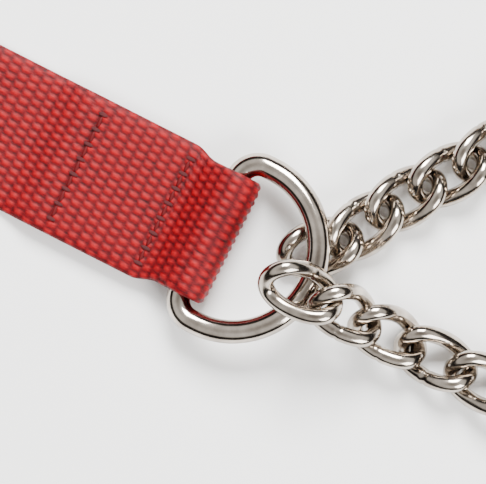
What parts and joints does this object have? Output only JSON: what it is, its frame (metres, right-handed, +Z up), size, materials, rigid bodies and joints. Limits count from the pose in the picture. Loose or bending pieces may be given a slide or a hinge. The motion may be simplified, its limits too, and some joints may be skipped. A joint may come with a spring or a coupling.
{
  "type": "martingale collar",
  "caption": "Webbing collar with a D-ring folded into each end and a loop of curb chain that runs through both D-rings and closes on a leash ring.",
  "frame": {"origin": "on the table surface below the middle of the whole collar, at the bottom centre of its box", "axes": "+X from the strap's closed end to the leash ring, +Y from the first D-ring to the second, +Z up from the table"},
  "size_m": [0.292, 0.133, 0.0251],
  "materials": {
    "webbing": "red nylon webbing, coarse plain weave, slight sheen",
    "thread": "red bonded polyester sewing thread",
    "ring_steel": "bright nickel-plated steel wire, polished, smooth",
    "chain_steel": "bright nickel-plated steel wire, polished, smooth"
  },
  "bodies": {
    "strap": {"strap": "webbing", "near_stitches_1": "thread", "far_stitches_1": "thread", "near_stitches_2": "thread", "far_stitches_2": "thread"},
    "ring_1": {"d_ring_1": "ring_steel", "chain_link_13": "chain_steel"},
    "ring_2": {"d_ring_2": "ring_steel", "chain_link_27": "chain_steel"},
    "leash_ring": {"leash_ring": "ring_steel"},
    "link_01": {"chain_link_01": "chain_steel"},
    "link_02": {"chain_link_02": "chain_steel"},
    "link_03": {"chain_link_03": "chain_steel"},
    "link_04": {"chain_link_04": "chain_steel"},
    "link_05": {"chain_link_05": "chain_steel"},
    "link_06": {"chain_link_06": "chain_steel"},
    "link_07": {"chain_link_07": "chain_steel"},
    "link_08": {"chain_link_08": "chain_steel"},
    "link_09": {"chain_link_09": "chain_steel"},
    "link_10": {"chain_link_10": "chain_steel"},
    "link_11": {"chain_link_11": "chain_steel"},
    "link_12": {"chain_link_12": "chain_steel"},
    "link_14": {"chain_link_14": "chain_steel"},
    "link_15": {"chain_link_15": "chain_steel"},
    "link_16": {"chain_link_16": "chain_steel"},
    "link_17": {"chain_link_17": "chain_steel"},
    "link_18": {"chain_link_18": "chain_steel"},
    "link_19": {"chain_link_19": "chain_steel"},
    "link_20": {"chain_link_20": "chain_steel"},
    "link_21": {"chain_link_21": "chain_steel"},
    "link_22": {"chain_link_22": "chain_steel"},
    "link_23": {"chain_link_23": "chain_steel"},
    "link_24": {"chain_link_24": "chain_steel"},
    "link_25": {"chain_link_25": "chain_steel"},
    "link_26": {"chain_link_26": "chain_steel"},
    "link_28": {"chain_link_28": "chain_steel"},
    "link_29": {"chain_link_29": "chain_steel"},
    "link_30": {"chain_link_30": "chain_steel"},
    "link_31": {"chain_link_31": "chain_steel"},
    "link_32": {"chain_link_32": "chain_steel"},
    "link_33": {"chain_link_33": "chain_steel"},
    "link_34": {"chain_link_34": "chain_steel"},
    "link_35": {"chain_link_35": "chain_steel"},
    "link_36": {"chain_link_36": "chain_steel"},
    "link_37": {"chain_link_37": "chain_steel"},
    "link_38": {"chain_link_38": "chain_steel"},
    "link_39": {"chain_link_39": "chain_steel"}
  },
  "joints": [
    {"name": "ring_1_swing", "type": "hinge", "parent": "strap", "child": "ring_1", "pos_m": [0.01027, -0.05, 0.0041], "axis": [0, -1, 0], "range_deg": [0, 100]},
    {"name": "ring_2_swing", "type": "hinge", "parent": "strap", "child": "ring_2", "pos_m": [0.01027, 0.05, 0.0041], "axis": [0, -1, 0], "range_deg": [0, 100]},
    {"name": "link_12_pivot", "type": "hinge", "parent": "ring_1", "child": "link_12", "pos_m": [0.03259, -0.05145, 0.01135], "axis": [0, 0, 1], "range_deg": [-0.73, 0.73]},
    {"name": "link_11_pivot", "type": "hinge", "parent": "link_12", "child": "link_11", "pos_m": [0.04089, -0.0514, 0.00722], "axis": [0, 0, 1], "range_deg": [-1.52, 1.52]},
    {"name": "link_10_pivot", "type": "hinge", "parent": "link_11", "child": "link_10", "pos_m": [0.04944, -0.05147, 0.0041], "axis": [0, 0, 1], "range_deg": [-0.73, 0.73]},
    {"name": "link_09_pivot", "type": "hinge", "parent": "link_10", "child": "link_09", "pos_m": [0.05862, -0.0515, 0.0032], "axis": [0, 0, 1], "range_deg": [-1.06, 1.06]},
    {"name": "link_08_pivot", "type": "hinge", "parent": "link_09", "child": "link_08", "pos_m": [0.068, -0.05121, 0.0032], "axis": [0, 0, 1], "range_deg": [-2.39, 2.39]},
    {"name": "link_07_pivot", "type": "hinge", "parent": "link_08", "child": "link_07", "pos_m": [0.07727, -0.04997, 0.00347], "axis": [0, 0, 1], "range_deg": [-2.57, 2.57]},
    {"name": "link_06_pivot", "type": "hinge", "parent": "link_07", "child": "link_06", "pos_m": [0.08623, -0.04734, 0.00397], "axis": [0, 0, 1], "range_deg": [-1.44, 1.44]},
    {"name": "link_05_pivot", "type": "hinge", "parent": "link_06", "child": "link_05", "pos_m": [0.09464, -0.04328, 0.00438], "axis": [0, 0, 1], "range_deg": [-0.79, 0.79]},
    {"name": "link_04_pivot", "type": "hinge", "parent": "link_05", "child": "link_04", "pos_m": [0.10228, -0.03791, 0.00469], "axis": [0, 0, 1], "range_deg": [-2.9, 2.9]},
    {"name": "link_03_pivot", "type": "hinge", "parent": "link_04", "child": "link_03", "pos_m": [0.10894, -0.03137, 0.00488], "axis": [0, 0, 1], "range_deg": [-3.52, 3.52]},
    {"name": "link_02_pivot", "type": "hinge", "parent": "link_03", "child": "link_02", "pos_m": [0.11462, -0.02393, 0.00497], "axis": [0, 0, 1], "range_deg": [-1.4, 1.4]},
    {"name": "lead_strand_1_sway", "type": "hinge", "parent": "link_02", "child": "link_01", "pos_m": [0.11968, -0.01602, 0.005], "axis": [0, 0, 1], "range_deg": [-4, 4]},
    {"name": "link_28_pivot", "type": "hinge", "parent": "ring_2", "child": "link_28", "pos_m": [0.03259, 0.05145, 0.01135], "axis": [0, 0, 1], "range_deg": [-0.73, 0.73]},
    {"name": "link_29_pivot", "type": "hinge", "parent": "link_28", "child": "link_29", "pos_m": [0.04089, 0.0514, 0.00722], "axis": [0, 0, 1], "range_deg": [-1.52, 1.52]},
    {"name": "link_30_pivot", "type": "hinge", "parent": "link_29", "child": "link_30", "pos_m": [0.04944, 0.05147, 0.0041], "axis": [0, 0, 1], "range_deg": [-0.73, 0.73]},
    {"name": "link_31_pivot", "type": "hinge", "parent": "link_30", "child": "link_31", "pos_m": [0.05862, 0.0515, 0.0032], "axis": [0, 0, 1], "range_deg": [-1.06, 1.06]},
    {"name": "link_32_pivot", "type": "hinge", "parent": "link_31", "child": "link_32", "pos_m": [0.068, 0.05121, 0.0032], "axis": [0, 0, 1], "range_deg": [-2.39, 2.39]},
    {"name": "link_33_pivot", "type": "hinge", "parent": "link_32", "child": "link_33", "pos_m": [0.07727, 0.04997, 0.00347], "axis": [0, 0, 1], "range_deg": [-2.57, 2.57]},
    {"name": "link_34_pivot", "type": "hinge", "parent": "link_33", "child": "link_34", "pos_m": [0.08623, 0.04734, 0.00397], "axis": [0, 0, 1], "range_deg": [-1.44, 1.44]},
    {"name": "link_35_pivot", "type": "hinge", "parent": "link_34", "child": "link_35", "pos_m": [0.09464, 0.04328, 0.00438], "axis": [0, 0, 1], "range_deg": [-0.79, 0.79]},
    {"name": "link_36_pivot", "type": "hinge", "parent": "link_35", "child": "link_36", "pos_m": [0.10228, 0.03791, 0.00469], "axis": [0, 0, 1], "range_deg": [-2.9, 2.9]},
    {"name": "link_37_pivot", "type": "hinge", "parent": "link_36", "child": "link_37", "pos_m": [0.10894, 0.03137, 0.00488], "axis": [0, 0, 1], "range_deg": [-3.52, 3.52]},
    {"name": "link_38_pivot", "type": "hinge", "parent": "link_37", "child": "link_38", "pos_m": [0.11462, 0.02393, 0.00497], "axis": [0, 0, 1], "range_deg": [-1.4, 1.4]},
    {"name": "lead_strand_2_sway", "type": "hinge", "parent": "link_38", "child": "link_39", "pos_m": [0.11968, 0.01602, 0.005], "axis": [0, 0, 1], "range_deg": [-4, 4]},
    {"name": "link_14_pivot", "type": "hinge", "parent": "ring_1", "child": "link_14", "pos_m": [0.02822, -0.04763, 0.00822], "axis": [0, 0, 1], "range_deg": [-3.25, 3.25]},
    {"name": "link_15_pivot", "type": "hinge", "parent": "link_14", "child": "link_15", "pos_m": [0.03054, -0.04038, 0.0032], "axis": [0, 0, 1], "range_deg": [-1.07, 1.07]},
    {"name": "slack_strand_sway", "type": "hinge", "parent": "link_15", "child": "link_16", "pos_m": [0.03509, -0.0334, 0.0032], "axis": [0, 0, 1], "range_deg": [-4, 4]},
    {"name": "link_17_pivot", "type": "hinge", "parent": "link_16", "child": "link_17", "pos_m": [0.03954, -0.0263, 0.0032], "axis": [0, 0, 1], "range_deg": [-0.66, 0.66]},
    {"name": "link_18_pivot", "type": "hinge", "parent": "link_17", "child": "link_18", "pos_m": [0.04422, -0.01934, 0.0032], "axis": [0, 0, 1], "range_deg": [-2.17, 2.17]},
    {"name": "link_19_pivot", "type": "hinge", "parent": "link_18", "child": "link_19", "pos_m": [0.04823, -0.01202, 0.0032], "axis": [0, 0, 1], "range_deg": [-1.91, 1.91]},
    {"name": "link_20_pivot", "type": "hinge", "parent": "link_19", "child": "link_20", "pos_m": [0.05054, -0.00411, 0.0032], "axis": [0, 0, 1], "range_deg": [-1.59, 1.59]},
    {"name": "link_26_pivot", "type": "hinge", "parent": "ring_2", "child": "link_26", "pos_m": [0.02822, 0.04763, 0.00822], "axis": [0, 0, 1], "range_deg": [-3.25, 3.25]},
    {"name": "link_25_pivot", "type": "hinge", "parent": "link_26", "child": "link_25", "pos_m": [0.03054, 0.04038, 0.0032], "axis": [0, 0, 1], "range_deg": [-1.07, 1.07]},
    {"name": "link_24_pivot", "type": "hinge", "parent": "link_25", "child": "link_24", "pos_m": [0.03509, 0.0334, 0.0032], "axis": [0, 0, 1], "range_deg": [-4.05, 4.05]},
    {"name": "link_23_pivot", "type": "hinge", "parent": "link_24", "child": "link_23", "pos_m": [0.03954, 0.0263, 0.0032], "axis": [0, 0, 1], "range_deg": [-0.66, 0.66]},
    {"name": "link_22_pivot", "type": "hinge", "parent": "link_23", "child": "link_22", "pos_m": [0.04422, 0.01934, 0.0032], "axis": [0, 0, 1], "range_deg": [-2.17, 2.17]},
    {"name": "link_21_pivot", "type": "hinge", "parent": "link_22", "child": "link_21", "pos_m": [0.04823, 0.01202, 0.0032], "axis": [0, 0, 1], "range_deg": [-1.91, 1.91]},
    {"name": "leash_ring_swing", "type": "hinge", "parent": "link_01", "child": "leash_ring", "pos_m": [0.12292, 0, 0.005], "axis": [0, -1, 0], "range_deg": [0, 25]}
  ],
  "couplings": [
    {"joint": "ring_2_swing", "follows": "ring_1_swing", "ratio": 1},
    {"joint": "link_12_pivot", "follows": "lead_strand_1_sway", "ratio": -0.1709},
    {"joint": "link_11_pivot", "follows": "lead_strand_1_sway", "ratio": -0.3686},
    {"joint": "link_10_pivot", "follows": "lead_strand_1_sway", "ratio": -0.1702},
    {"joint": "link_09_pivot", "follows": "lead_strand_1_sway", "ratio": 0.2524},
    {"joint": "link_08_pivot", "follows": "lead_strand_1_sway", "ratio": 0.5846},
    {"joint": "link_07_pivot", "follows": "lead_strand_1_sway", "ratio": 0.631},
    {"joint": "link_06_pivot", "follows": "lead_strand_1_sway", "ratio": 0.347},
    {"joint": "link_05_pivot", "follows": "lead_strand_1_sway", "ratio": -0.186},
    {"joint": "link_04_pivot", "follows": "lead_strand_1_sway", "ratio": -0.7132},
    {"joint": "link_03_pivot", "follows": "lead_strand_1_sway", "ratio": -0.8685},
    {"joint": "link_02_pivot", "follows": "lead_strand_1_sway", "ratio": -0.3376},
    {"joint": "link_28_pivot", "follows": "lead_strand_2_sway", "ratio": -0.1709},
    {"joint": "link_29_pivot", "follows": "lead_strand_2_sway", "ratio": -0.3686},
    {"joint": "link_30_pivot", "follows": "lead_strand_2_sway", "ratio": -0.1702},
    {"joint": "link_31_pivot", "follows": "lead_strand_2_sway", "ratio": 0.2524},
    {"joint": "link_32_pivot", "follows": "lead_strand_2_sway", "ratio": 0.5846},
    {"joint": "link_33_pivot", "follows": "lead_strand_2_sway", "ratio": 0.631},
    {"joint": "link_34_pivot", "follows": "lead_strand_2_sway", "ratio": 0.3469},
    {"joint": "link_35_pivot", "follows": "lead_strand_2_sway", "ratio": -0.186},
    {"joint": "link_36_pivot", "follows": "lead_strand_2_sway", "ratio": -0.7132},
    {"joint": "link_37_pivot", "follows": "lead_strand_2_sway", "ratio": -0.8685},
    {"joint": "link_38_pivot", "follows": "lead_strand_2_sway", "ratio": -0.3376},
    {"joint": "link_14_pivot", "follows": "slack_strand_sway", "ratio": -0.7991},
    {"joint": "link_15_pivot", "follows": "slack_strand_sway", "ratio": 0.2559},
    {"joint": "link_17_pivot", "follows": "slack_strand_sway", "ratio": 0.1529},
    {"joint": "link_18_pivot", "follows": "slack_strand_sway", "ratio": -0.5293},
    {"joint": "link_19_pivot", "follows": "slack_strand_sway", "ratio": -0.4645},
    {"joint": "link_20_pivot", "follows": "slack_strand_sway", "ratio": 0.3841},
    {"joint": "link_26_pivot", "follows": "slack_strand_sway", "ratio": 0.7991},
    {"joint": "link_25_pivot", "follows": "slack_strand_sway", "ratio": -0.2559},
    {"joint": "link_24_pivot", "follows": "slack_strand_sway", "ratio": -1},
    {"joint": "link_23_pivot", "follows": "slack_strand_sway", "ratio": -0.1529},
    {"joint": "link_22_pivot", "follows": "slack_strand_sway", "ratio": 0.5293},
    {"joint": "link_21_pivot", "follows": "slack_strand_sway", "ratio": 0.4645}
  ]
}
